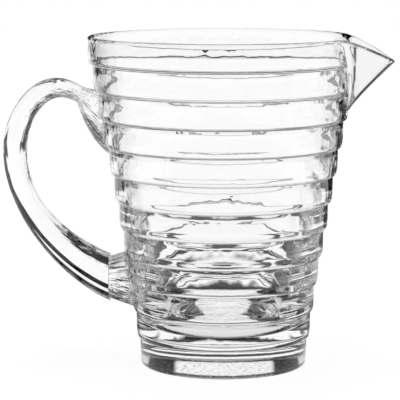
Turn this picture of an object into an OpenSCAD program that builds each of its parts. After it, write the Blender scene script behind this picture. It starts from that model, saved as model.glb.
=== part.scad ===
// Clear glass jug: a ring-stepped pressed body, a drawn pouring lip and an applied handle.
// Millimetres. The origin is the centre of the underside, +Z is up, the lip points to +X
// and the handle to -X.

/* [Body rings] */
// Radius of the foot, the lowest and narrowest band
foot_r = 42.4; // [38:0.1:46]
// Height of the foot
foot_h = 14; // [10:0.5:18]
// Number of rings above the foot, counting the rim band
ring_count = 11; // [10:1:12]
// Height of one ring
ring_pitch = 13.95; // [13:0.05:15]
// Height of the topmost ring, the rim band
rim_band_h = 14.5; // [13:0.5:18]
// How much wider each ring is than the one below it
ring_step = 1.92; // [1.7:0.01:2.1]
// Extra widening that grows towards the rim
ring_flare = 0.044; // [0.03:0.002:0.06]
// Widening of one ring from its lower to its upper edge
ring_draft = 0.35; // [0:0.05:0.6]
// Rounding under the lower edge of each ring
ring_round = 1.4; // [0.6:0.1:1.6]
// Height of that rounding
ring_rise = 4.4; // [1.4:0.2:6]
// Rounding of the foot where it meets the table
foot_round = 2; // [1:0.25:4]

/* [Glass] */
// Wall at the rim
wall = 3.1; // [2.4:0.1:4]
// Extra wall that the glass gathers towards the bottom
base_swell = 19; // [12:0.5:22]
// Height below which the wall starts to thicken
swell_z = 120; // [90:1:140]
// Height of the inside floor
floor_z = 19; // [14:0.5:26]
// Rounding between the inside floor and the wall
floor_round = 12; // [6:0.5:16]

/* [Pouring lip] */
// Depth of the lip, from the rim down to where it leaves the body
lip_depth = 38; // [32:1:46]
// Half width of the lip at the creases on the rim
lip_half_w = 29.4; // [24:0.2:34]
// Width of plain rim beside each crease that belongs to the lip
lip_margin = 3.6; // [3:0.2:5]
// Reach of the tip past the rim
lip_reach = 18; // [12:0.2:20]
// How far the tip dips below the rim
lip_dip = 12; // [9:0.2:14]
// Sideways swell of the lip between crease and tip
lip_swell = 4; // [2:0.5:8]
// Rise of the lip's edge above the straight line from crease to tip
lip_lift = 2; // [0:0.25:3]
// Walls by which a crease lies nearer to the middle on the inside of the glass
crease_in = 0.15; // [0.1:0.05:0.3]
// Hollow of the keel line under the lip: 1 is straight
keel_curve = 1.15; // [1:0.05:1.4]

/* [Handle bow] */
// Height of the centre of the upper end
upper_z = 137.5; // [132:0.5:140]
// Distance of the upper end from the body
upper_neck = 10; // [8:0.5:13]
// Thickness of the upper end, seen from the side
upper_thick = 8.6; // [7:0.2:11]
// Width of the upper end, seen from the front
upper_w = 11.5; // [10:0.5:16]
// Lean of the upper end away from the upright
upper_lean = 20; // [10:1:30]
// Height of the widest point of the bow
bow_z = 109.5; // [100:0.5:116]
// Clear room between the body and the bow at its widest point
finger_gap = 43; // [34:0.5:50]
// Thickness of the bow at its widest point
bow_thick = 12.5; // [10:0.25:15]
// Height of the centre of the lower end
lower_z = 43.75; // [40:0.25:48]
// Distance of the lower end from the body
lower_neck = 9.8; // [8:0.2:13]
// Thickness of the lower end, seen from the side
lower_thick = 24.5; // [20:0.5:27]
// Width of the lower end, seen from the front
lower_w = 18; // [16:0.5:24]
// Direction in which the bow leaves its upper end
arch_angle = 146; // [138:1:152]
// Fullness of the arch along its back
arch_back = 29; // [22:0.5:34]
// Fullness of the arch along its inside
arch_inside = 18; // [13:0.5:22]
// Fullness of the side above the widest point, along its back
side_back = 18; // [12:0.5:24]
// Fullness of the side above the widest point, along its inside
side_inside = 14.5; // [10:0.5:19]
// Fullness of the side below the widest point, along its back
tail_back = 34.5; // [26:0.5:42]
// Fullness of the side below the widest point, along its inside
tail_inside = 26.5; // [20:0.5:33]
// Direction from the lower end back up the bow
tail_angle = 157; // [150:1:164]
// Fullness of the tail beside the lower end
tail_pull = 27; // [20:0.5:33]

/* [Handle joints] */
// Depth to which each joint is drawn into the curve of the body before it is trimmed
root_depth = 8; // [6:0.5:10]
// Rise of the upper joint's root above its lowest point
seal_h = 30.5; // [26:0.5:34]
// Drop of the upper joint's root below the upper end
seal_drop = 34; // [30:0.5:37]
// Width of the upper joint on the body
seal_w = 19; // [15:0.5:24]
// Rise of the upper joint's crest above its root
seal_crest = 5; // [3:0.5:7]
// How far the hollow under the upper joint is drawn in towards the body
seal_tuck = 8; // [6:0.5:9]
// Height of that hollow above the root's lowest point
seal_hollow = 4.5; // [3:0.5:7]
// Step between the bow's lower end and the pad that carries it
pad_step = 1.4; // [0.6:0.1:2.4]
// Flare of the pad above and below, from the bow to the body
pad_flare = 6; // [3:0.5:8]
// Width of the pad on the body
pad_w = 25; // [20:0.5:30]

/* [Hidden] */
glass = [0.86, 0.92, 0.93, 0.55];
$fn = 96;
round_steps = 5;
lip_rows = 8;
lip_cols = 8;
bow_rings = 14;
joint_rings = 6;
bow_sides = 18;

rim_z = foot_h + (ring_count - 1) * ring_pitch + rim_band_h;
rim_r = ring_r(ring_count);
apex_z = rim_z - lip_depth;
tip_z = rim_z - lip_dip;
notch_half_w = lip_half_w + lip_margin;

// Middle radius of ring i, where ring 0 is the foot
function ring_r(i) = foot_r + ring_step * i + ring_flare * i * i;

// Height of the lower edge of ring i
function ring_z(i) = foot_h + (i - 1) * ring_pitch;

// Number of the ring at height z, and the same count as a smooth value
function ring_at(z) = z < foot_h ? 0 : min(ring_count, floor((z - foot_h) / ring_pitch) + 1);
function ring_flow(z) = min(ring_count, max(0, (z - foot_h) / ring_pitch + 0.5));

// Outside of the body at height z: with its steps, and as the smooth line through them
function body_r(z) = ring_r(ring_at(z));
function flow_r(z) = ring_r(ring_flow(z));

// Glass thickness and inside radius at height z
function glass_at(z) = wall + base_swell * pow(max(0, swell_z - z) / swell_z, 2);
function inside_r(z) = flow_r(z) - glass_at(z);

// Points of an oval round c with half axes h, between two angles, and of an arc with radius r
function oval_arc(c, h, from, to, n = round_steps) =
    [for (k = [0:n])
        let (a = from + (to - from) * k / n)
        c + [h[0] * cos(a), h[1] * sin(a)]];
function arc(c, r, from, to, n = round_steps) = oval_arc(c, [r, r], from, to, n);

// Profile of the outside: the foot, then the rounded lower edge and the drafted face of each ring
function ring_outline(i) =
    let (low_r = ring_r(i) - ring_draft / 2)
    concat(
        [[ring_r(i - 1) + ring_draft / 2, ring_z(i)]],
        oval_arc([low_r - ring_round, ring_z(i) + ring_rise], [ring_round, ring_rise], -90, 0)
    );
function outside_line() = concat(
    [[0, 0]],
    arc([foot_r - ring_draft / 2 - foot_round, foot_round], foot_round, -90, 0),
    [for (i = [1:ring_count]) each ring_outline(i)]
);

// Profile of the rim, a full round across the wall
function rim_line() =
    let (out_r = rim_r + ring_draft / 2)
    let (half = (out_r - inside_r(rim_z)) / 2)
    arc([out_r - half, rim_z - half], half, 0, 180, 2 * round_steps);

// Profile of the inside, from the rim down to the middle of the floor
function inside_line() =
    let (turn_z = floor_z + floor_round)
    let (top_z = rim_z - rim_band_h / 2)
    let (rows = ceil((top_z - turn_z) / (ring_pitch / 2)))
    concat(
        [for (k = [0:rows - 1])
            let (z = top_z - (top_z - turn_z) * k / rows)
            [inside_r(z), z]],
        arc([inside_r(turn_z) - floor_round, turn_z], floor_round, 0, -90),
        [[0, floor_z]]
    );

// Point at t along a curve with two or three handles
function quad(p, t) = (1 - t) * (1 - t) * p[0] + 2 * t * (1 - t) * p[1] + t * t * p[2];
function cubic(p, t) = (1 - t) * quad([p[0], p[1], p[2]], t) + t * quad([p[1], p[2], p[3]], t);

// Step of length d in direction a, in the plane of the handle
function aim(d, a) = d * [cos(a), sin(a)];

// Two triangles for the four corners of a patch, seen from outside in clockwise order
function patch(a, b, c, d) = [[a, b, c], [a, c, d]];

// Whole outside of the body as one filled solid, used to trim what is fused to it
module body_outside() {
    rotate_extrude()
        polygon(concat(outside_line(), [[rim_r, rim_z], [0, rim_z]]));
}

// Wedge taken out of the body where the lip was drawn out
module lip_notch() {
    reach = rim_r + lip_reach;
    spread = notch_half_w / lip_depth;
    rise = lip_depth + rim_band_h;
    rotate([90, 0, 90])
        linear_extrude(reach)
            polygon([[0, apex_z], [spread * rise, apex_z + rise], [-spread * rise, apex_z + rise]]);
}

// Pressed body with its foot, rings, rim and hollow inside
module pressed_body() {
    color(glass)
        difference() {
            rotate_extrude()
                polygon(concat(outside_line(), rim_line(), inside_line()));
            lip_notch();
        }
}

// Lip: at share v of its depth, from the apex (0) to the edge (1)
function lip_line_r(v) = flow_r(apex_z) + (rim_r - flow_r(apex_z)) * v;
function lip_side(v, y, inset) =
    [sqrt(pow(lip_line_r(v) - inset, 2) - y * y), y, apex_z + lip_depth * v];
function lip_crease(v, inset) =
    lip_side(v, lip_half_w * v - inset * crease_in, inset);
function lip_keel(v, inset) =
    [flow_r(apex_z) + (rim_r + lip_reach - flow_r(apex_z)) * pow(v, keel_curve) - inset, 0,
        apex_z + (tip_z - apex_z) * v];
function lip_bend(v, inset) =
    (lip_crease(v, inset) + lip_keel(v, inset)) / 2
        + [0, lip_swell * v * v, lip_lift * v];
function lip_half(v, inset) = concat(
    [lip_side(v, notch_half_w * v, inset)],
    [for (k = [0:lip_cols - 1])
        quad([lip_crease(v, inset), lip_bend(v, inset), lip_keel(v, inset)], k / lip_cols)]
);
function lip_row(v, inset) =
    let (half = lip_half(v, inset))
    let (last = len(half) - 1)
    concat(
        half,
        [lip_keel(v, inset)],
        [for (k = [0:last]) [half[last - k].x, -half[last - k].y, half[last - k].z]]
    );

// Pouring lip, a thin smooth shell drawn out of the rim between two creases
module pouring_lip() {
    across = 2 * (lip_cols + 1) + 1;
    outer = [for (k = [1:lip_rows]) each lip_row(k / lip_rows, 0)];
    inner = [for (k = [1:lip_rows]) each lip_row(k / lip_rows, wall)];
    shift = len(outer);
    apex_out = 2 * shift;
    apex_in = apex_out + 1;
    last = (lip_rows - 1) * across;
    edge = across - 1;
    faces = concat(
        [for (k = [0:lip_rows - 2]) for (j = [0:across - 2])
            let (p = k * across + j)
            each patch(p, p + across, p + across + 1, p + 1)],
        [for (k = [0:lip_rows - 2]) for (j = [0:across - 2])
            let (p = shift + k * across + j)
            each patch(p, p + 1, p + across + 1, p + across)],
        [for (j = [0:across - 2]) [apex_out, j, j + 1]],
        [for (j = [0:across - 2]) [apex_in, shift + j + 1, shift + j]],
        [for (j = [0:across - 2])
            let (p = last + j)
            each patch(p, shift + p, shift + p + 1, p + 1)],
        [for (k = [0:lip_rows - 2])
            let (p = k * across)
            each patch(p, shift + p, shift + p + across, p + across)],
        [for (k = [0:lip_rows - 2])
            let (p = k * across + edge)
            each patch(p, p + across, shift + p + across, shift + p)],
        patch(apex_out, apex_in, shift, 0),
        patch(apex_out, edge, shift + edge, apex_in)
    );
    color(glass)
        polyhedron(concat(outer, inner, [lip_keel(0, 0), lip_keel(0, wall)]), faces);
}

// Handle: the back and inside edges of its outline in the XZ plane, ends first
upper_end = [-(body_r(upper_z) + upper_neck), upper_z];
lower_end = [-(body_r(lower_z) + lower_neck), lower_z];
bow_inside = [-(body_r(bow_z) + finger_gap), bow_z];
bow_back = bow_inside - [bow_thick, 0];
upper_half = aim(upper_thick / 2, 90 - upper_lean);
lower_half = [0, lower_thick / 2];
upper_back = upper_end + upper_half;
upper_inside = upper_end - upper_half;
lower_back = lower_end - lower_half;
lower_inside = lower_end + lower_half;

back_arch = [upper_back, upper_back + aim(arch_back, arch_angle), bow_back + [0, side_back], bow_back];
back_tail = [bow_back, bow_back - [0, tail_back], lower_back + aim(tail_pull, tail_angle), lower_back];
inside_arch = [upper_inside, upper_inside + aim(arch_inside, arch_angle),
    bow_inside + [0, side_inside], bow_inside];
inside_tail = [bow_inside, bow_inside - [0, tail_inside],
    lower_inside + aim(tail_pull, tail_angle), lower_inside];

// Point at t along an outline made of two curves, 0 at the first end and 1 at the last
function along(first, second, t) = t <= 0.5 ? cubic(first, 2 * t) : cubic(second, 2 * t - 1);

// Oval ring between a back and an inside point, w wide
function oval(back, inside, w) =
    let (mid = (back + inside) / 2)
    let (half = (back - inside) / 2)
    [for (k = [0:bow_sides - 1])
        let (a = 360 * k / bow_sides)
        [mid.x + half.x * cos(a), w / 2 * sin(a), mid.y + half.y * cos(a)]];

// Solid through a list of rings with the same number of points
module skin(rings) {
    n = len(rings[0]);
    count = len(rings);
    faces = concat(
        [for (k = [0:count - 2]) for (j = [0:n - 1])
            let (a = k * n + j)
            let (b = k * n + (j + 1) % n)
            each patch(a, b, b + n, a + n)],
        [[for (j = [n - 1:-1:0]) j]],
        [[for (j = [0:n - 1]) (count - 1) * n + j]]
    );
    polyhedron([for (r = rings) each r], faces);
}

// Width of the bow at t: it thickens only towards its lower end
function bow_w(t) = upper_w + (lower_w - upper_w) * t * t;

// Drawn bow, from its upper to its lower end
module handle_bow() {
    color(glass)
        skin([for (k = [0:2 * bow_rings])
            let (t = k / (2 * bow_rings))
            oval(along(back_arch, back_tail, t), along(inside_arch, inside_tail, t), bow_w(t))]);
}

// Upper joint: the bow's end flattened and drawn down the side of the body
module upper_handle_seal() {
    root_low = [-(body_r(upper_z - seal_drop) - root_depth), upper_z - seal_drop];
    root_top = root_low + [0, seal_h];
    back = [upper_back, root_top + [-root_depth, seal_crest], root_top];
    inside = [upper_inside, [upper_inside.x + seal_tuck, root_low.y + seal_hollow], root_low];
    color(glass)
        difference() {
            skin([for (k = [joint_rings:-1:0])
                let (t = k / joint_rings)
                oval(quad(back, t), quad(inside, t), upper_w + (seal_w - upper_w) * t)]);
            body_outside();
        }
}

// Lower joint: the short pad that carries the bow's lower end
module lower_handle_pad() {
    root_x = -(body_r(lower_z) - root_depth);
    low = lower_back + [0, pad_step];
    top = lower_inside - [0, pad_step];
    color(glass)
        difference() {
            skin([
                oval(low, top, lower_w - 2 * pad_step),
                oval([root_x, low.y - pad_flare], [root_x, top.y + pad_flare], pad_w)
            ]);
            body_outside();
        }
}

pressed_body();
pouring_lip();
handle_bow();
upper_handle_seal();
lower_handle_pad();
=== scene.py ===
"""Clear glass jug: ring-stepped pressed body with a drawn pouring lip and an applied loop handle."""
import math

import bmesh
import bpy
import numpy as np
from bpy.props import FloatProperty, FloatVectorProperty, IntProperty, PointerProperty
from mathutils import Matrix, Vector
from mathutils.bvhtree import BVHTree


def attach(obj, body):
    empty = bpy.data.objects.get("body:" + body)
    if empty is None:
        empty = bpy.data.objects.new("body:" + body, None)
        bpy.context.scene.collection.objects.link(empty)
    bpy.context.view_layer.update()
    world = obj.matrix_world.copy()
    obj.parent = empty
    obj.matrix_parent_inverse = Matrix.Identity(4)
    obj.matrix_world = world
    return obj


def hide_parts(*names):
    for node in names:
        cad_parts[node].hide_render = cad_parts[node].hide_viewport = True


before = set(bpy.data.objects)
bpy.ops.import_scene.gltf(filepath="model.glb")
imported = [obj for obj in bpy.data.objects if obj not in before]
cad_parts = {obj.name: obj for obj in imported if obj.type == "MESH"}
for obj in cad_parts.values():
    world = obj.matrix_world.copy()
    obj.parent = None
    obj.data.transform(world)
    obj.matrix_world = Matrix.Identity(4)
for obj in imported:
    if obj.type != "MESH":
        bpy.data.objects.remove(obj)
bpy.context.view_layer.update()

bl_info = {
    "name": "Glass Jug",
    "version": (1, 0, 0),
    "blender": (4, 5, 0),
    "location": "View3D > Sidebar > Glass Jug",
    "description": "Builds a clear pressed glass jug with a drawn lip and an applied handle",
    "category": "Add Mesh",
}

# Fineness of the meshes, in steps round an arc or rows along a face
FOOT_STEPS = 8
FILLET_STEPS = 3
RING_STEPS = 10
RIM_STEPS = 12
FLOOR_STEPS = 14
INSIDE_ROWS = 110
SEAL_STEPS = 20
PAD_STEPS = 8

# Where an extra row lies, as a share of the underside, inside floor, foot's height or ring's height
UNDERSIDE_ROW = 0.5
FLOOR_ROW = 0.5
FOOT_ROW = 0.55
LOWER_RING_ROW = 0.4
UPPER_RING_ROW = 0.7

# Points closer than this, in metres, count as one point
MERGE_DISTANCE = 1e-6
# Strength of one softening pass at a crease
SOFT_WEIGHT = 0.25
# Edges of the handle pieces that are sharper than this stay sharp
SHARP_DEGREES = 40
# Ring of the body that carries the pad
PAD_RING = 3
# How often a ray may go through glass, and how often it may be reflected
GLASS_BOUNCES = 32
GLOSS_BOUNCES = 16


def metres(name, description, default):
    return FloatProperty(name=name, description=description, default=default, precision=5, unit="LENGTH")


def angle(name, description, degrees):
    return FloatProperty(
        name=name, description=description, default=math.radians(degrees), subtype="ANGLE"
    )


def share(name, description, default):
    return FloatProperty(name=name, description=description, default=default, precision=4)


class JugBodySizes(bpy.types.PropertyGroup):
    """Pressed body: rings, rim and hollow inside"""

    foot_radius: metres("Foot radius", "Radius of the lowest and narrowest band", 0.0424)
    foot_height: metres("Foot height", "Height of the foot", 0.014)
    foot_round: metres("Foot round", "Rounding of the foot where it meets the table", 0.002)
    ring_count: IntProperty(name="Rings", description="Rings above the foot, rim band included", default=11)
    ring_pitch: metres("Ring pitch", "Height of one ring", 0.01395)
    rim_band: metres("Rim band", "Height of the topmost ring", 0.0145)
    ring_step: metres("Ring step", "How much wider each ring is than the one below it", 0.00192)
    ring_flare: metres("Ring flare", "Extra widening that grows towards the rim", 0.000044)
    ring_draft: metres("Ring draft", "Widening of one ring from its lower to its upper edge", 0.00032)
    ring_rise: metres(
        "Ring rise", "Height of the rounding under each ring, which is as wide as the step", 0.0044)
    ring_fillet: metres("Ring fillet", "Hollow rounding above the upper edge of each ring", 0.0002)
    wall: metres("Wall", "Glass thickness at the rim", 0.0031)
    base_swell: metres("Base swell", "Extra glass that gathers towards the bottom", 0.019)
    swell_height: metres("Swell height", "Height below which the wall starts to thicken", 0.12)
    floor_height: metres("Floor height", "Height of the inside floor", 0.019)
    floor_round: metres("Floor round", "Rounding between the inside floor and the wall", 0.012)
    inner_wave: share("Inner wave", "Share of the ring steps that shows through on the inside", 0.55)
    inner_spread: metres("Inner spread", "Height over which an inside step is spread", 0.007)
    inner_shift: metres("Inner shift", "Height of an inside step above the ring's lower edge", 0.0)
    columns: IntProperty(name="Columns", description="Mesh columns round half of the body", default=136)


class JugLipSizes(bpy.types.PropertyGroup):
    """Pouring lip drawn out of the rim"""

    depth: metres("Depth", "From the rim down to where the lip leaves the body", 0.038)
    half_width: metres("Half width", "Half width of the lip at the creases on the rim", 0.0294)
    reach: metres("Reach", "Reach of the tip past the rim", 0.018)
    dip: metres("Dip", "How far the tip dips below the rim", 0.012)
    swell: metres("Swell", "Sideways swell between crease and tip", 0.004)
    lift: metres("Lift", "Rise of the edge above the straight line from crease to tip", 0.002)
    crease_in: share("Crease in", "Walls by which a crease lies further in on the inside", 0.15)
    edge_thin: share("Edge thinning", "Share of the wall that is lost towards the tip", 0.15)
    soft_columns: share("Soft columns", "Mesh columns on each side of a crease that are softened", 6.0)
    soft_passes: IntProperty(name="Soft passes", description="Passes that soften the creases", default=14)
    keel_curve: share("Keel curve", "Hollow of the keel line: 1 is straight", 1.15)
    least_angle: angle("Least angle", "Smallest half angle of the mesh columns under the lip", 5.0)
    fade_angle: angle("Fade angle", "Angle beside the creases over which the ring steps fade out", 10.0)
    columns: IntProperty(name="Columns", description="Mesh columns across half of the lip", default=24)


class JugHandleSizes(bpy.types.PropertyGroup):
    """Drawn handle bow and its two joints"""

    upper_end: FloatVectorProperty(
        name="Upper end", description="Centre of the bow's upper end", size=2,
        default=(-0.07324, 0.1375), unit="LENGTH", precision=5)
    upper_thick: metres("Upper thickness", "Thickness of the upper end, seen from the side", 0.0086)
    upper_width: metres("Upper width", "Width of the upper end, seen from the front", 0.0115)
    upper_lean: angle("Upper lean", "Lean of the upper end away from the upright", 20.0)
    bow_back: FloatVectorProperty(
        name="Bow back", description="Outermost point of the bow", size=2,
        default=(-0.11349, 0.1095), unit="LENGTH", precision=5)
    bow_thick: metres("Bow thickness", "Thickness of the bow at its outermost point", 0.0125)
    lower_end: FloatVectorProperty(
        name="Lower end", description="Centre of the bow's lower end", size=2,
        default=(-0.05836, 0.04375), unit="LENGTH", precision=5)
    lower_thick: metres("Lower thickness", "Thickness of the lower end, seen from the side", 0.0245)
    lower_width: metres("Lower width", "Width of the lower end, seen from the front", 0.018)
    arch_angle: angle("Arch angle", "Direction in which the bow leaves its upper end", 146.0)
    arch_back: metres("Arch back", "Fullness of the arch along its back", 0.029)
    arch_inside: metres("Arch inside", "Fullness of the arch along its inside", 0.018)
    side_back: metres("Side back", "Fullness above the outermost point, along the back", 0.018)
    side_inside: metres("Side inside", "Fullness above the outermost point, along the inside", 0.0145)
    tail_back: metres("Tail back", "Fullness below the outermost point, along the back", 0.0345)
    tail_inside: metres("Tail inside", "Fullness below the outermost point, along the inside", 0.0265)
    tail_angle: angle("Tail angle", "Direction from the lower end back up the bow", 157.0)
    tail_pull: metres("Tail pull", "Fullness beside the lower end", 0.027)
    seal_root: FloatVectorProperty(
        name="Seal root", description="Lowest point of the upper joint's root", size=2,
        default=(-0.05, 0.1035), unit="LENGTH", precision=5)
    seal_height: metres("Seal height", "Rise of the upper joint's root", 0.0305)
    seal_width: metres("Seal width", "Width of the upper joint on the body", 0.019)
    seal_crest: metres("Seal crest", "Rise of the joint's crest above its root", 0.005)
    seal_tuck: metres("Seal tuck", "How far the hollow under the joint is drawn in", 0.008)
    seal_hollow: metres("Seal hollow", "Height of that hollow above the root", 0.0045)
    root_depth: metres("Root depth", "Depth of the joints before they are trimmed to the body", 0.008)
    pad_step: metres("Pad step", "Step between the bow's lower end and the pad", 0.0014)
    pad_flare: metres("Pad flare", "Flare of the pad from the bow to the body", 0.006)
    pad_width: metres("Pad width", "Width of the pad on the body", 0.025)
    seam: metres("Seam", "Hair-thin seam between two pieces of glass", 0.00003)
    sides: IntProperty(name="Sides", description="Mesh sides round the bow", default=64)
    rings: IntProperty(name="Rings", description="Mesh rings along half of the bow", default=56)


class JugGlassLook(bpy.types.PropertyGroup):
    """Clear soda-lime glass"""

    tint: FloatVectorProperty(
        name="Tint", description="Colour of the clear glass", subtype="COLOR", default=(1.0, 1.0, 1.0))
    ior: share("Index", "Index of refraction", 1.52)
    ripple: metres("Ripple", "Height of the faint waves left by the mould", 0.00019)
    draw: metres("Draw", "Height of the faint lines left by drawing", 0.002)


class JugStageLook(bpy.types.PropertyGroup):
    """Camera, floor and studio light"""

    camera_at: FloatVectorProperty(
        name="Camera", description="Place of the camera", size=3, default=(0.0783, -1.0462, 0.2309),
        unit="LENGTH", precision=4)
    camera_turn: angle("Camera turn", "Turn of the camera round the upright", 4.935)
    camera_pitch: angle("Camera pitch", "Downward pitch of the camera", 7.954)
    lens: share("Lens", "Focal length in millimetres", 187.0)
    floor_colour: FloatVectorProperty(
        name="Floor", description="Colour of the floor", subtype="COLOR", default=(0.8, 0.8, 0.8))
    floor_glow: share("Floor glow", "Light that keeps the paper white around the shadow", 0.84)
    floor_size: metres("Floor size", "Width of the floor", 6.0)
    floor_gap: metres(
        "Floor gap", "Air between the foot and the floor, which keeps the underside a mirror", 0.0003)


class JugSettings(bpy.types.PropertyGroup):
    """All sizes and looks of the jug"""

    body: PointerProperty(type=JugBodySizes)
    lip: PointerProperty(type=JugLipSizes)
    handle: PointerProperty(type=JugHandleSizes)
    glass: PointerProperty(type=JugGlassLook)
    stage: PointerProperty(type=JugStageLook)


# Node helpers

def add_node(tree, kind, inputs=None, **settings):
    node = tree.nodes.new(kind)
    for name, value in settings.items():
        setattr(node, name, value)
    for key, value in (inputs or {}).items():
        if isinstance(key, str):
            socket = next(s for s in node.inputs if s.name == key and s.enabled)
        else:
            socket = node.inputs[key]
        if isinstance(value, bpy.types.NodeSocket):
            tree.links.new(value, socket)
        else:
            socket.default_value = value
    return node


def math_node(tree, operation, *values):
    return add_node(tree, "ShaderNodeMath", dict(enumerate(values)), operation=operation).outputs[0]


def first_output(node, name):
    return next(s for s in node.outputs if s.name == name and s.enabled)


def geometry_tree(name, sockets):
    tree = bpy.data.node_groups.new(name, "GeometryNodeTree")
    tree.interface.new_socket("Geometry", in_out="OUTPUT", socket_type="NodeSocketGeometry")
    tree.interface.new_socket("Guide", in_out="INPUT", socket_type="NodeSocketGeometry")
    for label, kind in sockets:
        tree.interface.new_socket(label, in_out="INPUT", socket_type=kind)
    return tree, tree.nodes.new("NodeGroupInput"), tree.nodes.new("NodeGroupOutput")


def guide_grid(tree, source, count):
    """Grid with one row for each point of the guide, and the row and turn of each of its points"""
    rows = add_node(
        tree, "GeometryNodeAttributeDomainSize", {"Geometry": source}, component="MESH"
    ).outputs["Point Count"]
    grid = add_node(
        tree, "GeometryNodeMeshGrid",
        {"Vertices X": math_node(tree, "ADD", count, 1.0), "Vertices Y": rows},
    ).outputs["Mesh"]
    index = tree.nodes.new("GeometryNodeInputIndex").outputs[0]
    row = math_node(tree, "MODULO", index, rows)
    column = math_node(tree, "FLOOR", math_node(tree, "DIVIDE", index, rows))
    turn = math_node(tree, "MULTIPLY", math_node(tree, "DIVIDE", column, count), math.tau)
    return grid, row, turn


def sampled(tree, source, value, row, data_type):
    node = add_node(
        tree, "GeometryNodeSampleIndex", {"Geometry": source}, data_type=data_type, domain="POINT"
    )
    tree.links.new(value, next(s for s in node.inputs if s.name == "Value" and s.enabled))
    tree.links.new(row, node.inputs["Index"])
    return first_output(node, "Value")


def named_value(tree, name, data_type):
    node = add_node(tree, "GeometryNodeInputNamedAttribute", {"Name": name}, data_type=data_type)
    return first_output(node, "Attribute")


def finish_tree(tree, geometry, group_in, group_out):
    merged = add_node(
        tree, "GeometryNodeMergeByDistance", {"Geometry": geometry, "Distance": MERGE_DISTANCE}
    ).outputs[0]
    smooth = add_node(tree, "GeometryNodeSetShadeSmooth", {"Geometry": merged}).outputs[0]
    real = add_node(tree, "GeometryNodeRealizeInstances", {"Geometry": smooth}).outputs[0]
    done = add_node(
        tree, "GeometryNodeSetMaterial", {"Geometry": real, "Material": group_in.outputs["Material"]}
    ).outputs[0]
    tree.links.new(done, group_out.inputs[0])


def ring_lathe_tree():
    """Turns a profile, given as a line of points, round the upright axis"""
    tree, group_in, group_out = geometry_tree(
        "ring_lathe", [("Columns", "NodeSocketInt"), ("Material", "NodeSocketMaterial")]
    )
    source = group_in.outputs["Guide"]
    grid, row, turn = guide_grid(tree, source, group_in.outputs["Columns"])
    place = tree.nodes.new("GeometryNodeInputPosition").outputs[0]
    point = add_node(
        tree, "ShaderNodeSeparateXYZ", {0: sampled(tree, source, place, row, "FLOAT_VECTOR")}
    ).outputs
    position = add_node(tree, "ShaderNodeCombineXYZ", {
        0: math_node(tree, "MULTIPLY", point[0], math_node(tree, "COSINE", turn)),
        1: math_node(tree, "MULTIPLY", point[0], math_node(tree, "SINE", turn)),
        2: point[2],
    }).outputs[0]
    placed = add_node(
        tree, "GeometryNodeSetPosition", {"Geometry": grid, "Position": position}
    ).outputs[0]
    kept = add_node(
        tree, "GeometryNodeStoreNamedAttribute", {"Geometry": placed, "Name": "row"},
        data_type="FLOAT", domain="POINT",
    )
    tree.links.new(row, next(s for s in kept.inputs if s.name == "Value" and s.enabled))
    finish_tree(tree, kept.outputs[0], group_in, group_out)
    return tree


def oval_sweep_tree():
    """Lays an oval round each point of a guide line, from its half thickness and half width"""
    tree, group_in, group_out = geometry_tree(
        "oval_sweep", [("Sides", "NodeSocketInt"), ("Material", "NodeSocketMaterial")]
    )
    source = group_in.outputs["Guide"]
    grid, row, turn = guide_grid(tree, source, group_in.outputs["Sides"])
    place = tree.nodes.new("GeometryNodeInputPosition").outputs[0]
    middle = sampled(tree, source, place, row, "FLOAT_VECTOR")
    half = sampled(tree, source, named_value(tree, "half", "FLOAT_VECTOR"), row, "FLOAT_VECTOR")
    half_width = sampled(tree, source, named_value(tree, "half_width", "FLOAT"), row, "FLOAT")
    thick = add_node(
        tree, "ShaderNodeVectorMath", {0: half, "Scale": math_node(tree, "COSINE", turn)},
        operation="SCALE",
    ).outputs[0]
    wide = add_node(
        tree, "ShaderNodeCombineXYZ",
        {1: math_node(tree, "MULTIPLY", half_width, math_node(tree, "SINE", turn))},
    ).outputs[0]
    offset = add_node(tree, "ShaderNodeVectorMath", {0: thick, 1: wide}, operation="ADD").outputs[0]
    position = add_node(
        tree, "ShaderNodeVectorMath", {0: middle, 1: offset}, operation="ADD"
    ).outputs[0]
    placed = add_node(
        tree, "GeometryNodeSetPosition", {"Geometry": grid, "Position": position}
    ).outputs[0]
    drawn = add_node(tree, "ShaderNodeCombineXYZ", {
        0: math_node(tree, "COSINE", turn), 1: math_node(tree, "SINE", turn), 2: row,
    }).outputs[0]
    kept = add_node(
        tree, "GeometryNodeStoreNamedAttribute", {"Geometry": placed, "Name": "drawn"},
        data_type="FLOAT_VECTOR", domain="POINT",
    )
    tree.links.new(drawn, next(s for s in kept.inputs if s.name == "Value" and s.enabled))
    finish_tree(tree, kept.outputs[0], group_in, group_out)
    return tree


def run_tree(name, guide, tree, inputs):
    """Object whose plain mesh is what the tree makes of the guide mesh"""
    holder = bpy.data.objects.new(name, guide)
    bpy.context.collection.objects.link(holder)
    modifier = holder.modifiers.new("shape", "NODES")
    modifier.node_group = tree
    labels = {
        item.name: item.identifier for item in tree.interface.items_tree if item.in_out == "INPUT"
    }
    for label, value in inputs.items():
        modifier[labels[label]] = value
    graph = bpy.context.evaluated_depsgraph_get()
    mesh = bpy.data.meshes.new_from_object(
        holder.evaluated_get(graph), preserve_all_data_layers=True, depsgraph=graph
    )
    holder.modifiers.remove(modifier)
    keep_glass(mesh, inputs["Material"])
    holder.data = mesh
    mesh.name = name
    bpy.data.meshes.remove(guide)
    if not mesh.polygons:
        raise RuntimeError(f"{name} has no faces")
    return holder


def face_outwards(mesh):
    shell = bmesh.new()
    shell.from_mesh(mesh)
    bmesh.ops.recalc_face_normals(shell, faces=shell.faces)
    if shell.calc_volume(signed=True) < 0:
        bmesh.ops.reverse_faces(shell, faces=shell.faces)
    shell.to_mesh(mesh)
    shell.free()
    mesh.update()


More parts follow.
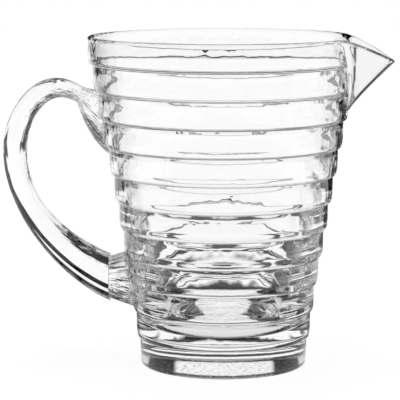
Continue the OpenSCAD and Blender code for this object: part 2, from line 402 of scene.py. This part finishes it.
def line_mesh(name, points, **values):
    mesh = bpy.data.meshes.new(name)
    mesh.from_pydata(points, [(k, k + 1) for k in range(len(points) - 1)], [])
    for label, rows in values.items():
        rows = np.asarray(rows, dtype=np.float32)
        kind, key = ("FLOAT_VECTOR", "vector") if rows.ndim == 2 else ("FLOAT", "value")
        mesh.attributes.new(label, kind, "POINT").data.foreach_set(key, rows.ravel())
    return mesh


# Shape of the pressed body

def ring_radius(body, ring):
    return body.foot_radius + body.ring_step * ring + body.ring_flare * ring * ring


def ring_height(body, ring):
    return body.foot_height + (ring - 1) * body.ring_pitch


def rim_height(body):
    return ring_height(body, body.ring_count) + body.rim_band


def flow_radius(body, height):
    ring = (height - body.foot_height) / body.ring_pitch + 0.5
    return ring_radius(body, min(max(ring, 0.0), body.ring_count))


def ease(x):
    x = np.clip(x, 0.0, 1.0)
    return x * x * (3.0 - 2.0 * x)


def soft_step_radius(body, height):
    """Radius of the rings with each step spread over some height"""
    place = (height - body.inner_shift - body.foot_height) / body.ring_pitch
    ring = max(math.floor(place + 0.5), 0)
    if ring >= body.ring_count:
        return ring_radius(body, body.ring_count)
    past = (place - ring) * body.ring_pitch
    t = float(ease(past / body.inner_spread + 0.5))
    return ring_radius(body, ring) * (1 - t) + ring_radius(body, ring + 1) * t


def glass_at(body, height):
    share_below = max(0.0, body.swell_height - height) / body.swell_height
    return body.wall + body.base_swell * share_below ** 2


def inside_radius(body, height):
    middle = (1 - body.inner_wave) * flow_radius(body, height)
    return middle + body.inner_wave * soft_step_radius(body, height) - glass_at(body, height)


def arc(centre, radius, start, stop, steps, rise=None):
    """Points of an arc between two angles in degrees, drawn out to another height where rise is given"""
    points = []
    rise = radius if rise is None else rise
    for k in range(steps + 1):
        a = math.radians(start + (stop - start) * k / steps)
        points.append((centre[0] + radius * math.cos(a), centre[1] + rise * math.sin(a)))
    return points


def outside_profile(body, grow=0.0):
    half = body.ring_draft / 2
    foot = body.foot_round
    points = [(0.0, 0.0), (body.foot_radius * UNDERSIDE_ROW, 0.0)]
    points += arc((body.foot_radius - half - foot, foot), foot, -90, 0, FOOT_STEPS)
    points.append((body.foot_radius, body.foot_height * FOOT_ROW))
    for ring in range(1, body.ring_count + 1):
        low = ring_height(body, ring)
        inner = ring_radius(body, ring - 1) + half
        outer = ring_radius(body, ring) - half
        fillet = body.ring_fillet
        turn = outer - inner - fillet
        points += arc((inner + fillet, low - fillet), fillet, 180, 90, FILLET_STEPS)
        points += arc((outer - turn, low + body.ring_rise), turn, -90, 0, RING_STEPS, body.ring_rise)
        band = body.rim_band if ring == body.ring_count else body.ring_pitch
        points.append((ring_radius(body, ring), low + band * LOWER_RING_ROW))
        points.append((ring_radius(body, ring) + half / 3, low + band * UPPER_RING_ROW))
    return [(r + grow if r else r, z) for r, z in points]


def inside_profile(body, top):
    floor, turn = body.floor_height, body.floor_round
    points = []
    for k in range(INSIDE_ROWS):
        z = top - (top - floor - turn) * k / (INSIDE_ROWS - 1)
        points.append((inside_radius(body, z), z))
    edge = points[-1][0]
    points += arc((edge - turn, floor + turn), turn, 0, -90, FLOOR_STEPS)[1:]
    points += [((edge - turn) * FLOOR_ROW, floor), (0.0, floor)]
    return points


def whole_profile(body):
    """Rows from the middle of the underside over the rim to the middle of the floor, with their kind"""
    top = rim_height(body)
    out = ring_radius(body, body.ring_count) + body.ring_draft / 2
    half = (out - inside_radius(body, top)) / 2
    outside = outside_profile(body)
    rim = arc((out - half, top - half), half, 0, 180, RIM_STEPS)
    inside = inside_profile(body, top - half)
    points = outside + rim + inside[1:]
    kinds = [0] * (len(outside) + 1) + [1] * (len(rim) - 2) + [2] * len(inside)
    return points, kinds, half


# Shape of the pouring lip

class LipShape:
    """Surface of the lip between its creases, and how the body's rows run into it"""

    def __init__(self, body, lip):
        self.body, self.lip = body, lip
        self.top = rim_height(body)
        self.apex = self.top - lip.depth
        self.apex_radius = flow_radius(body, self.apex)
        self.rim_radius = ring_radius(body, body.ring_count)

    def line_radius(self, v):
        return self.apex_radius + (self.rim_radius - self.apex_radius) * v

    def crease_half(self, v, inset):
        lip = self.lip
        floor = self.rim_radius * math.sin(lip.least_angle)
        wide = max(lip.half_width * v - inset * lip.crease_in, 0.0)
        return (wide ** 4 + floor ** 4) ** 0.25 if v < 0.5 else wide

    def crease_angle(self, v, inset):
        v = min(max(v, 0.0), 1.0)
        return math.asin(self.crease_half(v, inset) / (self.line_radius(v) - inset))

    def point(self, v, s, inset):
        """Point at share v of the depth and share s of the way from crease to keel"""
        lip = self.lip
        v = max(v, 0.0)
        radius = self.line_radius(v) - inset
        half = self.crease_half(v, inset)
        crease = np.array((math.sqrt(radius ** 2 - half ** 2), half, self.apex + lip.depth * v))
        reach = self.rim_radius + lip.reach - self.apex_radius
        keel = np.array((
            self.apex_radius + reach * v ** lip.keel_curve - inset,
            0.0,
            self.apex + (lip.depth - lip.dip) * v,
        ))
        bend = (crease + keel) / 2 + np.array((0.0, lip.swell * v * v, lip.lift * v))
        return (1 - s) ** 2 * crease + 2 * s * (1 - s) * bend + s ** 2 * keel


def draw_lip(mesh, body, lip, points, kinds, rim_half):
    """Moves the points of the turned body: columns gather at the lip, its rows swing out to the tip"""
    shape = LipShape(body, lip)
    count = len(mesh.vertices)
    places = np.empty(count * 3)
    mesh.vertices.foreach_get("co", places)
    places = places.reshape(-1, 3)
    rows = np.empty(count)
    mesh.attributes["row"].data.foreach_get("value", rows)
    rows = np.rint(rows).astype(int)
    turns = np.arctan2(places[:, 1], places[:, 0])
    top_share = (shape.top - rim_half - shape.apex) / lip.depth

    heights = np.array([z for r, z in points])
    evens = np.full(len(points), -1.0)
    for kind, order in ((0, 1), (2, -1)):
        zone = [j for j, k in enumerate(kinds) if k == kind and heights[j] >= shape.apex]
        if order < 0:
            zone = zone[::-1]
        for n, j in enumerate(zone):
            evens[j] = top_share * (n + 0.5) / (len(zone) - 0.5)
    rim_rows = [j for j, k in enumerate(kinds) if k == 1]
    crease_share = lip.columns / body.columns

    def surface(j, t, v_even, inset):
        """Place of row j at column share t, on the outside or the inside of the glass"""
        radius, height = points[j]
        crease = shape.crease_angle(v_even, inset)
        if t <= crease_share:
            turn = crease * t / crease_share
        else:
            turn = crease + (math.pi - crease) * (t - crease_share) / (1 - crease_share)
        if v_even < 0:
            return np.array((radius * math.cos(turn), radius * math.sin(turn), height))
        if turn <= crease:
            s = 1 - turn / crease
            return shape.point(v_even, s, inset * (1 - lip.edge_thin * v_even * s))
        fade = float(ease((crease + lip.fade_angle - turn) / lip.fade_angle))
        v = (1 - fade) * (height - shape.apex) / lip.depth + fade * v_even
        z = shape.apex + lip.depth * v
        r = (1 - fade) * radius + fade * (shape.line_radius(v) - inset)
        return np.array((r * math.cos(turn), r * math.sin(turn), z))

    last_out = max(j for j, k in enumerate(kinds) if k == 0)
    first_in = min(j for j, k in enumerate(kinds) if k == 2)
    table = np.zeros((len(points), body.columns + 1, 3))
    for column in range(body.columns + 1):
        t = column / body.columns
        for j, kind in enumerate(kinds):
            if kind != 1:
                table[j, column] = surface(j, t, evens[j], 0.0 if kind == 0 else body.wall)
        out, inn = table[last_out, column], table[first_in, column]
        if t <= crease_share:
            s = 1 - t / crease_share
            inset = body.wall * (1 - lip.edge_thin * s)
            up = (shape.point(1.0, s, 0.0) + shape.point(1.0, s, inset) - out - inn) / 2
        else:
            up = np.array((0.0, 0.0, shape.top - (out[2] + inn[2]) / 2))
        for j in rim_rows:
            phase = math.pi * (j - last_out) / (first_in - last_out)
            table[j, column] = (out + inn) / 2 + (out - inn) / 2 * math.cos(phase) + up * math.sin(phase)

    lip_rows = [j for j in range(len(points)) if kinds[j] == 1 or evens[j] >= 0]
    inner = np.arange(1, body.columns)
    weight = SOFT_WEIGHT * np.exp(-(((inner - lip.columns) / lip.soft_columns) ** 2))[None, :, None]
    zone = table[lip_rows]
    for _ in range(lip.soft_passes):
        zone[:, 1:-1] += weight * (zone[:, :-2] - 2 * zone[:, 1:-1] + zone[:, 2:])
    table[lip_rows] = zone

    columns = np.rint(np.abs(turns) / math.pi * body.columns).astype(int)
    moved = table[rows, columns]
    moved[:, 1] *= np.where(turns >= 0, 1.0, -1.0)
    on_axis = np.array([r == 0.0 for r, z in points])[rows]
    places[~on_axis] = moved[~on_axis]
    mesh.vertices.foreach_set("co", places.ravel())
    mesh.attributes.remove(mesh.attributes["row"])
    mesh.update()


# Shape of the handle

def aim(length, direction):
    return np.array((length * math.cos(direction), length * math.sin(direction)))


def bezier(points, t):
    points = [np.asarray(p, dtype=float) for p in points]
    while len(points) > 1:
        points = [(1 - t) * a + t * b for a, b in zip(points, points[1:])]
    return points[0]


class HandleRails:
    """Back and inside edges of the handle's outline in the XZ plane"""

    def __init__(self, handle):
        h = self.handle = handle
        upper, lower = np.array(h.upper_end), np.array(h.lower_end)
        half = aim(h.upper_thick / 2, math.pi / 2 - h.upper_lean)
        self.upper_back, self.upper_inside = upper + half, upper - half
        drop = np.array((0.0, h.lower_thick / 2))
        self.lower_back, self.lower_inside = lower - drop, lower + drop
        back = np.array(h.bow_back)
        inside = back + np.array((h.bow_thick, 0.0))
        up = np.array((0.0, 1.0))
        tail = aim(h.tail_pull, h.tail_angle)
        self.back = (
            [self.upper_back, self.upper_back + aim(h.arch_back, h.arch_angle),
             back + up * h.side_back, back],
            [back, back - up * h.tail_back, self.lower_back + tail, self.lower_back],
        )
        self.inside = (
            [self.upper_inside, self.upper_inside + aim(h.arch_inside, h.arch_angle),
             inside + up * h.side_inside, inside],
            [inside, inside - up * h.tail_inside, self.lower_inside + tail, self.lower_inside],
        )
        root = np.array(h.seal_root)
        crown = root + up * h.seal_height
        self.seal_back = [self.upper_back, crown + np.array((-h.root_depth, h.seal_crest)), crown]
        self.seal_inside = [
            self.upper_inside,
            np.array((self.upper_inside[0] + h.seal_tuck, root[1] + h.seal_hollow)),
            root,
        ]

    def bow(self, t):
        part, u = (0, 2 * t) if t <= 0.5 else (1, 2 * t - 1)
        width = self.handle.upper_width + (self.handle.lower_width - self.handle.upper_width) * t * t
        return bezier(self.back[part], u), bezier(self.inside[part], u), width

    def seal(self, t):
        width = self.handle.upper_width + (self.handle.seal_width - self.handle.upper_width) * t
        return bezier(self.seal_back, t), bezier(self.seal_inside, t), width


def oval_guide(name, sections):
    """Guide line for the oval sweep, with both ends closed"""
    sections = [sections[0]] + sections + [sections[-1]]
    middles, halves, widths = [], [], []
    for n, (back, inside, width) in enumerate(sections):
        shut = 0.0 if n in (0, len(sections) - 1) else 1.0
        middle, half = (back + inside) / 2, (back - inside) / 2 * shut
        middles.append((middle[0], 0.0, middle[1]))
        halves.append((half[0], 0.0, half[1]))
        widths.append(width / 2 * shut)
    return line_mesh(name, middles, half=halves, half_width=widths)


def trim_to_body(piece, jug):
    """Cuts a joint back to the outside of the body, less a hair-thin seam"""
    body = jug.body
    top = rim_height(body)
    profile = outside_profile(body, jug.handle.seam)
    profile += [(ring_radius(body, body.ring_count) + jug.handle.seam, top), (0.0, top)]
    cutter = run_tree(
        "trim_tool", line_mesh("trim_tool", [(r, 0.0, z) for r, z in profile]), ring_lathe_tree(),
        {"Columns": 2 * body.columns, "Material": bpy.data.materials.new("trim")},
    )
    face_outwards(cutter.data)
    cut = piece.modifiers.new("trim", "BOOLEAN")
    cut.operation, cut.solver, cut.object = "DIFFERENCE", "EXACT", cutter
    cut.material_mode = "TRANSFER"
    graph = bpy.context.evaluated_depsgraph_get()
    mesh = bpy.data.meshes.new_from_object(
        piece.evaluated_get(graph), preserve_all_data_layers=True, depsgraph=graph
    )
    piece.modifiers.remove(cut)
    fuse_to_body(bpy.data.objects["pressed_body_glass"].data, piece.data, jug.handle.seam)
    glass = piece.data.materials[-1]
    old, piece.data = piece.data, mesh
    bpy.data.meshes.remove(old)
    bpy.data.objects.remove(cutter)
    if not mesh.polygons:
        raise RuntimeError(f"{piece.name} was trimmed away")
    cut_slot = len(mesh.materials) - 1
    mark_fused(mesh, [polygon.index for polygon in mesh.polygons if polygon.material_index == cut_slot])
    keep_glass(mesh, glass)


def mark_fused(mesh, faces):
    """Marks the faces where two pieces of glass run into each other"""
    marks = mesh.attributes.get("fused") or mesh.attributes.new("fused", "FLOAT", "FACE")
    for index in faces:
        marks.data[index].value = 1.0


def keep_glass(mesh, glass):
    """Leaves the glass as the only material of a mesh"""
    mesh.materials.clear()
    mesh.materials.append(glass)
    mesh.polygons.foreach_set("material_index", [0] * len(mesh.polygons))


def fuse_to_body(body_mesh, joint_mesh, seam):
    """Marks the faces of the body that lie inside the untrimmed joint"""
    joint = bmesh.new()
    joint.from_mesh(joint_mesh)
    tree = BVHTree.FromBMesh(joint)
    joint.free()
    corners = np.array([vertex.co for vertex in joint_mesh.vertices])
    low, high = corners.min(axis=0), corners.max(axis=0)
    inside = []
    for polygon in body_mesh.polygons:
        point = polygon.center + polygon.normal * seam
        if np.all(point > low) and np.all(point < high) and crossings(tree, point) % 2:
            inside.append(polygon.index)
    mark_fused(body_mesh, inside)


def crossings(tree, point):
    """How often a sideways ray from the point meets the shell"""
    way = Vector((0.03, 1.0, 0.07)).normalized()
    count = 0
    place = tree.ray_cast(point, way)[0]
    while place is not None:
        count += 1
        place = tree.ray_cast(place + way * MERGE_DISTANCE, way)[0]
    return count


def finish_piece(piece, nodes, sharp_angle=None):
    face_outwards(piece.data)
    for polygon in piece.data.polygons:
        polygon.use_smooth = True
    if sharp_angle is not None:
        piece.data.set_sharp_from_angle(angle=math.radians(sharp_angle))
    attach(piece, "root")
    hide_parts(*nodes)


# Glass

def shader_group(name, inputs, outputs):
    tree = bpy.data.node_groups.new(name, "ShaderNodeTree")
    for label, default in inputs:
        socket = tree.interface.new_socket(label, in_out="INPUT", socket_type="NodeSocketFloat")
        socket.default_value = default
    for label in outputs:
        tree.interface.new_socket(label, in_out="OUTPUT", socket_type="NodeSocketFloat")
    return tree, tree.nodes.new("NodeGroupInput"), tree.nodes.new("NodeGroupOutput")


def mapped_noise(tree, vector, scale, noise_scale, detail):
    stretched = add_node(
        tree, "ShaderNodeVectorMath", {0: vector, 1: scale}, operation="MULTIPLY"
    ).outputs[0]
    node = add_node(
        tree, "ShaderNodeTexNoise", {"Vector": stretched, "Scale": noise_scale, "Detail": detail}
    )
    return node.outputs[0]


def mould_ripple_group():
    """Faint waves that a cooling mould leaves in pressed glass"""
    tree, group_in, group_out = shader_group("mould_ripple", [("Waves per metre", 120.0)], ["Height"])
    place = tree.nodes.new("ShaderNodeTexCoord").outputs["Object"]
    wave = mapped_noise(tree, place, (1.0, 1.0, 0.55), group_in.outputs[0], 1.5)
    height = add_node(tree, "ShaderNodeSeparateXYZ", {0: place}).outputs[2]
    calm = add_node(
        tree, "ShaderNodeMapRange",
        {"Value": height, "From Min": 0.001, "From Max": 0.04, "To Min": 0.15, "To Max": 1.0},
    ).outputs[0]
    tree.links.new(math_node(tree, "MULTIPLY", wave, calm), group_out.inputs[0])
    return tree


def draw_line_group():
    """Lengthwise lines that drawing leaves along the handle, strongest on its inside"""
    tree, group_in, group_out = shader_group("draw_lines", [("Lines", 2.6)], ["Height"])
    drawn = add_node(tree, "ShaderNodeAttribute", attribute_name="drawn").outputs["Vector"]
    line = mapped_noise(tree, drawn, (1.0, 1.0, 0.022), group_in.outputs[0], 2.0)
    parts = add_node(tree, "ShaderNodeSeparateXYZ", {0: drawn}).outputs
    inner = add_node(
        tree, "ShaderNodeMapRange",
        {"Value": parts[0], "From Min": 0.1, "From Max": -0.5, "To Min": 0.04, "To Max": 1.0},
    ).outputs[0]
    joint = add_node(
        tree, "ShaderNodeMapRange",
        {"Value": parts[2], "From Min": 30.0, "From Max": 16.0, "To Min": 0.0, "To Max": 1.6},
    ).outputs[0]
    strength = math_node(tree, "MAXIMUM", inner, joint)
    tree.links.new(math_node(tree, "MULTIPLY", line, strength), group_out.inputs[0])
    return tree


def foot_wear_group():
    """Fine scuffs on the lowest edge, where the jug is set down"""
    tree, group_in, group_out = shader_group("foot_wear", [("Height", 0.0016)], ["Roughness"])
    place = tree.nodes.new("ShaderNodeTexCoord").outputs["Object"]
    height = add_node(tree, "ShaderNodeSeparateXYZ", {0: place}).outputs[2]
    low = math_node(tree, "LESS_THAN", height, group_in.outputs[0])
    speck = mapped_noise(tree, place, (1.0, 1.0, 1.0), 700.0, 2.0)
    scuff = add_node(
        tree, "ShaderNodeMapRange",
        {"Value": speck, "From Min": 0.52, "From Max": 0.64, "To Min": 0.0, "To Max": 0.35},
    ).outputs[0]
    tree.links.new(math_node(tree, "MULTIPLY", low, scuff), group_out.inputs[0])
    return tree


def fused_seam_group():
    """Lets light through the faces where two pieces of glass are fused"""
    tree, group_in, group_out = shader_group("fused_seam", [], ["Alpha"])
    fused = add_node(tree, "ShaderNodeAttribute", attribute_name="fused").outputs["Fac"]
    tree.links.new(math_node(tree, "SUBTRACT", 1.0, fused), group_out.inputs[0])
    return tree


def named_group(name, maker):
    return bpy.data.node_groups.get(name) or maker()


def glass_material(name, look, relief, height, worn):
    material = bpy.data.materials.new(name)
    material.use_nodes = True
    tree = material.node_tree
    shader = tree.nodes["Principled BSDF"]
    shader.inputs["Base Color"].default_value = (*look.tint, 1.0)
    shader.inputs["Metallic"].default_value = 0.0
    shader.inputs["Roughness"].default_value = 0.0
    shader.inputs["IOR"].default_value = look.ior
    shader.inputs["Transmission Weight"].default_value = 1.0
    waves = add_node(tree, "ShaderNodeGroup", node_tree=relief).outputs["Height"]
    bump = add_node(
        tree, "ShaderNodeBump", {"Strength": 1.0, "Distance": height, "Height": waves}
    ).outputs[0]
    tree.links.new(bump, shader.inputs["Normal"])
    seam = add_node(tree, "ShaderNodeGroup", node_tree=named_group("fused_seam", fused_seam_group))
    tree.links.new(seam.outputs["Alpha"], shader.inputs["Alpha"])
    if worn:
        wear = add_node(tree, "ShaderNodeGroup", node_tree=named_group("foot_wear", foot_wear_group))
        tree.links.new(wear.outputs["Roughness"], shader.inputs["Roughness"])
    return material


def pressed_glass(look):
    name = "clear_pressed_glass"
    relief = named_group("mould_ripple", mould_ripple_group)
    return bpy.data.materials.get(name) or glass_material(name, look, relief, look.ripple, True)


def drawn_glass(look):
    name = "clear_drawn_glass"
    relief = named_group("draw_lines", draw_line_group)
    return bpy.data.materials.get(name) or glass_material(name, look, relief, look.draw, False)


# Studio

# Studio floor, as only rays that the glass bends or reflects see it: painted shade in dark rings by
# distance in metres round the jug, and painted dark reflections, standing in for dark cards, by heading
# from the camera's view
FLOOR_PAINTED_SHADE_STOPS = [
    (0.0, 1.0), (0.066, 1.0), (0.074, 0.02), (0.088, 0.02), (0.092, 1.0), (0.102, 1.0),
    (0.105, 0.02), (0.111, 0.02), (0.114, 1.0), (0.124, 1.0), (0.128, 0.02), (0.142, 0.02),
    (0.148, 1.0), (1.0, 1.0),
]
# Painted dark reflections beside and behind the jug, by heading
SIDE_PAINTED_DARK_STOPS = [
    (0.0, 0.0), (26 / 180, 0.0), (29 / 180, 0.996), (52 / 180, 0.996), (56 / 180, 0.2), (1.0, 0.2),
]
FAR_PAINTED_DARK_STOPS = [
    (0.0, 0.0), (116 / 360, 0.0), (119 / 360, 0.98), (131 / 360, 0.98), (134 / 360, 0.0),
    (194 / 360, 0.0), (197 / 360, 0.98), (221 / 360, 0.98), (224 / 360, 0.0), (1.0, 0.0),
]

# Reach of the floor's painted dark reflections, by distance times this scale
PAINTED_DARK_SCALE = 0.5
NEAR_REACH_STOPS = [(0.0, 1.0), (0.085, 1.0), (0.1, 0.0), (1.0, 0.0)]
HORIZON_STOPS = [(0.0, 0.0), (0.46, 0.0), (0.5, 1.0), (1.0, 1.0)]
FAR_REACH_STOPS = [(0.0, 0.0), (0.15, 0.0), (0.18, 1.0), (0.5, 1.0), (0.55, 0.0), (1.0, 0.0)]

# Studio sky, as all rays but the camera's see it: levels by heading, and by height low down and overhead
AZIMUTH_STOPS = [
    (0.0, 1.0), (25 / 180, 1.0), (28 / 180, 0.004), (56 / 180, 0.004), (60 / 180, 0.8), (1.0, 0.8),
]
LOW_STOPS = [
    (0.0, 1.0), (1.6 / 90, 1.0), (1.9 / 90, 0.004), (10.3 / 90, 0.004), (11 / 90, 1.0), (18 / 90, 1.0),
    (19.5 / 90, 0.004), (1.0, 0.004),
]
HIGH_STOPS = [(0.0, 0.004), (60 / 90, 0.004), (70 / 90, 0.9), (1.0, 0.9)]


def ramp(tree, value, stops):
    node = add_node(tree, "ShaderNodeValToRGB", {0: value})
    elements = node.color_ramp.elements
    while len(elements) < len(stops):
        elements.new(0.5)
    for element, (place, level) in zip(elements, stops):
        element.position = place
        element.color = (level, level, level, 1.0)
    return node.outputs[0]


def heading_shares(tree, x, y, turn):
    """Heading off the camera's view, as a share of a full turn with the view at 0.5, and of a half turn"""
    heading = math_node(tree, "ADD", math_node(tree, "ARCTAN2", x, y), turn)
    heading = math_node(tree, "WRAP", heading, math.pi, -math.pi)
    signed = math_node(tree, "ADD", math_node(tree, "DIVIDE", heading, math.tau), 0.5)
    return signed, math_node(tree, "DIVIDE", math_node(tree, "ABSOLUTE", heading), math.pi)


def floor_material(look):
    """Pale paper that keeps the shadow, with painted shade rings and painted dark reflections that only
    bent and reflected rays see
    """
    material = bpy.data.materials.new("floor_paper")
    material.use_nodes = True
    tree = material.node_tree
    shader = tree.nodes["Principled BSDF"]
    shader.inputs["Base Color"].default_value = (*look.floor_colour, 1.0)
    shader.inputs["Roughness"].default_value = 0.8
    path = tree.nodes.new("ShaderNodeLightPath").outputs
    place = add_node(
        tree, "ShaderNodeSeparateXYZ", {0: tree.nodes.new("ShaderNodeTexCoord").outputs["Object"]}
    ).outputs
    far = math_node(
        tree, "SQRT", math_node(
            tree, "ADD", math_node(tree, "MULTIPLY", place[0], place[0]),
            math_node(tree, "MULTIPLY", place[1], place[1])))
    # Painted shade: dark rings round the jug, which only bent and reflected rays see on the floor
    painted_shade_rings = ramp(tree, far, FLOOR_PAINTED_SHADE_STOPS)
    signed, away = heading_shares(tree, place[0], place[1], look.camera_turn)
    scaled = math_node(tree, "MULTIPLY", far, PAINTED_DARK_SCALE)
    # Painted dark reflections: dark patches by heading that only the glass shows
    far_painted_dark = math_node(
        tree, "MULTIPLY", ramp(tree, signed, FAR_PAINTED_DARK_STOPS), ramp(tree, scaled, FAR_REACH_STOPS))
    side_reach = math_node(
        tree, "MAXIMUM", ramp(tree, scaled, NEAR_REACH_STOPS), ramp(tree, scaled, HORIZON_STOPS))
    side_painted_dark = math_node(tree, "MULTIPLY", ramp(tree, away, SIDE_PAINTED_DARK_STOPS), side_reach)
    painted_dark_mask = math_node(tree, "MAXIMUM", side_painted_dark, far_painted_dark)
    level = math_node(tree, "MULTIPLY", painted_shade_rings, math_node(tree, "SUBTRACT", 1.0, painted_dark_mask))
    # The glow that bent and reflected rays see carries the painted shade and the painted dark reflections
    glow = add_node(tree, "ShaderNodeEmission", {"Color": (1, 1, 1, 1), "Strength": level}).outputs[0]
    white = add_node(
        tree, "ShaderNodeEmission", {"Color": (1, 1, 1, 1), "Strength": look.floor_glow}
    ).outputs[0]
    paper = add_node(tree, "ShaderNodeAddShader", {0: shader.outputs[0], 1: white}).outputs[0]
    bent = math_node(tree, "MAXIMUM", path["Is Transmission Ray"], path["Is Glossy Ray"])
    mix = add_node(tree, "ShaderNodeMixShader", {0: bent, 1: paper, 2: glow}).outputs[0]
    tree.links.new(mix, tree.nodes["Material Output"].inputs["Surface"])
    return material


def studio_world(scene, look):
    """White for the camera, and a dark sky with bright strips for all other rays"""
    world = bpy.data.worlds.new("studio")
    scene.world = world
    world.use_nodes = True
    tree = world.node_tree
    background = tree.nodes["Background"]
    direction = add_node(
        tree, "ShaderNodeSeparateXYZ",
        {0: tree.nodes.new("ShaderNodeTexCoord").outputs["Generated"]},
    ).outputs
    away = heading_shares(tree, direction[0], direction[1], look.camera_turn)[1]
    across = ramp(tree, away, AZIMUTH_STOPS)
    height = math_node(tree, "DIVIDE", math_node(tree, "ARCSINE", direction[2]), math.pi / 2)
    low = ramp(tree, height, LOW_STOPS)
    high = ramp(tree, height, HIGH_STOPS)
    path = tree.nodes.new("ShaderNodeLightPath").outputs
    level = math_node(tree, "MAXIMUM", math_node(tree, "MULTIPLY", across, low), high)
    tree.links.new(math_node(tree, "MAXIMUM", level, path["Is Camera Ray"]), background.inputs["Strength"])
    background.inputs["Color"].default_value = (1, 1, 1, 1)


# Operators

class GLASSJUG_OT_stage(bpy.types.Operator):
    """Set up the camera, the floor and the studio light"""

    bl_idname = "glassjug.stage"
    bl_label = "Stage"

    def execute(self, context):
        look = context.scene.glass_jug.stage
        lens = bpy.data.cameras.new("camera")
        lens.lens, lens.sensor_width = look.lens, 36.0
        lens.clip_start, lens.clip_end = 0.01, 100.0
        camera = bpy.data.objects.new("camera", lens)
        context.collection.objects.link(camera)
        camera.location = look.camera_at
        camera.rotation_euler = (math.pi / 2 - look.camera_pitch, 0.0, look.camera_turn)
        context.scene.camera = camera
        half, low = look.floor_size / 2, -look.floor_gap
        mesh = bpy.data.meshes.new("floor")
        corners = [(-half, -half, low), (half, -half, low), (half, half, low), (-half, half, low)]
        mesh.from_pydata(corners, [], [(0, 1, 2, 3)])
        floor = bpy.data.objects.new("floor", mesh)
        context.collection.objects.link(floor)
        mesh.materials.append(floor_material(look))
        studio_world(context.scene, look)
        scene = context.scene
        scene.view_settings.view_transform = "Standard"
        scene.cycles.max_bounces = GLASS_BOUNCES
        scene.cycles.transmission_bounces = GLASS_BOUNCES
        scene.cycles.glossy_bounces = GLOSS_BOUNCES
        return {"FINISHED"}


class GLASSJUG_OT_body(bpy.types.Operator):
    """Turn the pressed body and draw its pouring lip"""

    bl_idname = "glassjug.body"
    bl_label = "Body and lip"

    def execute(self, context):
        jug = context.scene.glass_jug
        points, kinds, rim_half = whole_profile(jug.body)
        piece = run_tree(
            "pressed_body_glass",
            line_mesh("body_profile", [(r, 0.0, z) for r, z in points]),
            ring_lathe_tree(),
            {"Columns": 2 * jug.body.columns, "Material": pressed_glass(jug.glass)},
        )
        draw_lip(piece.data, jug.body, jug.lip, points, kinds, rim_half)
        finish_piece(piece, ("pressed_body", "pouring_lip"))
        return {"FINISHED"}


class GLASSJUG_OT_bow(bpy.types.Operator):
    """Sweep the handle bow with its upper seal, trimmed to the body"""

    bl_idname = "glassjug.bow"
    bl_label = "Handle bow"

    def execute(self, context):
        jug = context.scene.glass_jug
        rails = HandleRails(jug.handle)
        steps = jug.handle.rings
        sections = [rails.seal(k / SEAL_STEPS) for k in range(SEAL_STEPS, 0, -1)]
        sections += [rails.bow(k / (2 * steps)) for k in range(2 * steps + 1)]
        piece = run_tree(
            "handle_bow_glass", oval_guide("bow_guide", sections), oval_sweep_tree(),
            {"Sides": jug.handle.sides, "Material": drawn_glass(jug.glass)},
        )
        face_outwards(piece.data)
        trim_to_body(piece, jug)
        finish_piece(piece, ("handle_bow", "upper_handle_seal"), SHARP_DEGREES)
        return {"FINISHED"}


class GLASSJUG_OT_pad(bpy.types.Operator):
    """Make the pad that carries the bow's lower end, trimmed to the body"""

    bl_idname = "glassjug.pad"
    bl_label = "Handle pad"

    def execute(self, context):
        jug = context.scene.glass_jug
        h = jug.handle
        rails = HandleRails(h)
        shift = np.array((h.seam, 0.0))
        step = np.array((0.0, h.pad_step))
        low, top = rails.lower_back + step + shift, rails.lower_inside - step + shift
        root = -(ring_radius(jug.body, PAD_RING) - h.root_depth)
        far_low = np.array((root, low[1] - h.pad_flare))
        far_top = np.array((root, top[1] + h.pad_flare))
        width = h.lower_width - 2 * h.pad_step
        sections = []
        for k in range(PAD_STEPS + 1):
            t = k / PAD_STEPS
            wide = width + (h.pad_width - width) * t
            sections.append((low + (far_low - low) * t, top + (far_top - top) * t, wide))
        piece = run_tree(
            "lower_pad_glass", oval_guide("pad_guide", sections), oval_sweep_tree(),
            {"Sides": h.sides, "Material": drawn_glass(jug.glass)},
        )
        face_outwards(piece.data)
        trim_to_body(piece, jug)
        finish_piece(piece, ("lower_handle_pad",), SHARP_DEGREES)
        return {"FINISHED"}


class GLASSJUG_PT_panel(bpy.types.Panel):
    """Lists the steps that build the jug"""

    bl_idname = "GLASSJUG_PT_panel"
    bl_label = "Glass Jug"
    bl_space_type = "VIEW_3D"
    bl_region_type = "UI"
    bl_category = "Glass Jug"

    def draw(self, context):
        for step in STEPS:
            self.layout.operator(step.bl_idname)


STEPS = (GLASSJUG_OT_stage, GLASSJUG_OT_body, GLASSJUG_OT_bow, GLASSJUG_OT_pad)
CLASSES = (
    JugBodySizes, JugLipSizes, JugHandleSizes, JugGlassLook, JugStageLook, JugSettings,
    *STEPS, GLASSJUG_PT_panel,
)


def register():
    for cls in CLASSES:
        bpy.utils.register_class(cls)
    bpy.types.Scene.glass_jug = PointerProperty(type=JugSettings)


def unregister():
    del bpy.types.Scene.glass_jug
    for cls in reversed(CLASSES):
        bpy.utils.unregister_class(cls)


def main():
    register()
    bpy.ops.glassjug.stage()
    bpy.ops.glassjug.body()
    bpy.ops.glassjug.bow()
    bpy.ops.glassjug.pad()


if __name__ == "__main__":
    main()
